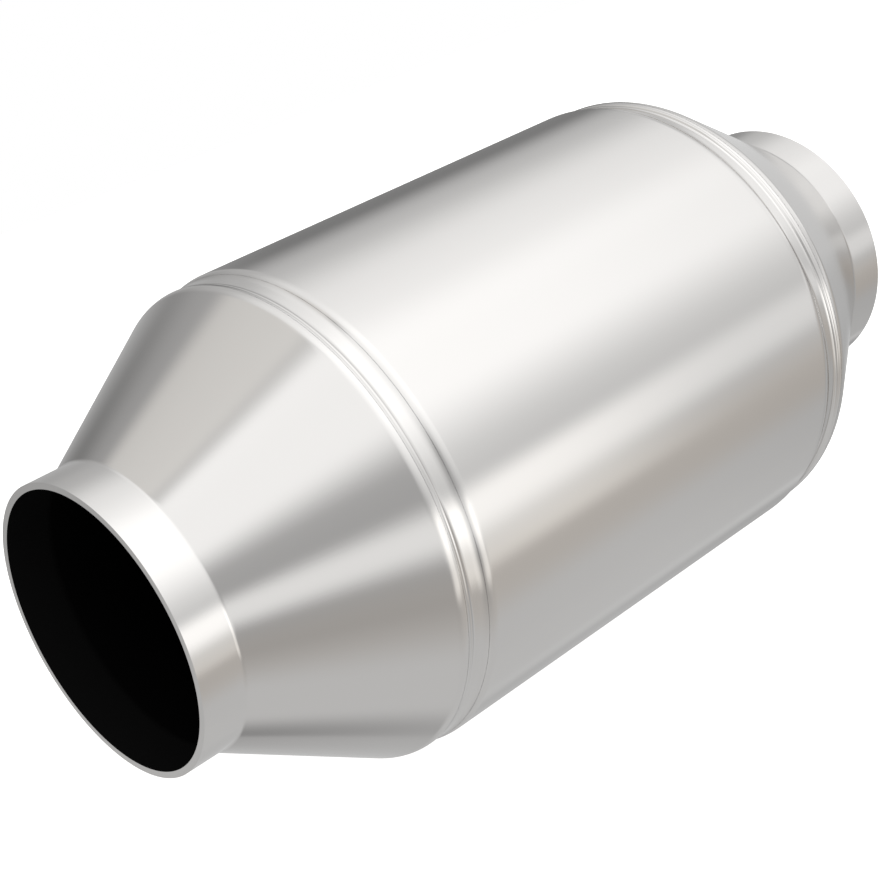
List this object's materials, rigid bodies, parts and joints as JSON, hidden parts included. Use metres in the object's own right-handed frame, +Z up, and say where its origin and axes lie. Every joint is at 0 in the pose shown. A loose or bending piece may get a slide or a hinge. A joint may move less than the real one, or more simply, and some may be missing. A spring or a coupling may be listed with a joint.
{
  "type": "catalytic converter",
  "caption": "Round in-line catalytic converter: a cylindrical sheet-steel shell with ceramic honeycomb inside, drawn cones and short push-on necks at both ends.",
  "frame": {"origin": "centre of the inlet neck's mouth", "axes": "+X along the axis from the inlet to the outlet, the way the gas flows; +Z up; +Y completes the right-handed frame"},
  "size_m": [0.2261, 0.1142, 0.1142],
  "materials": {
    "stainless": "satin, turned and lightly brushed round the axis",
    "ceramic": "matt, coated",
    "fibre_mat": "matt fibre felt",
    "knitted_wire": "matt knitted wire"
  },
  "bodies": {
    "root": {"shell": "stainless", "inlet_cone": "stainless", "outlet_cone": "stainless", "front_brick": "ceramic", "rear_brick": "ceramic", "front_mat": "fibre_mat", "rear_mat": "fibre_mat", "inlet_seal": "knitted_wire", "outlet_seal": "knitted_wire", "brick_spacer": "knitted_wire"}
  },
  "joints": []
}
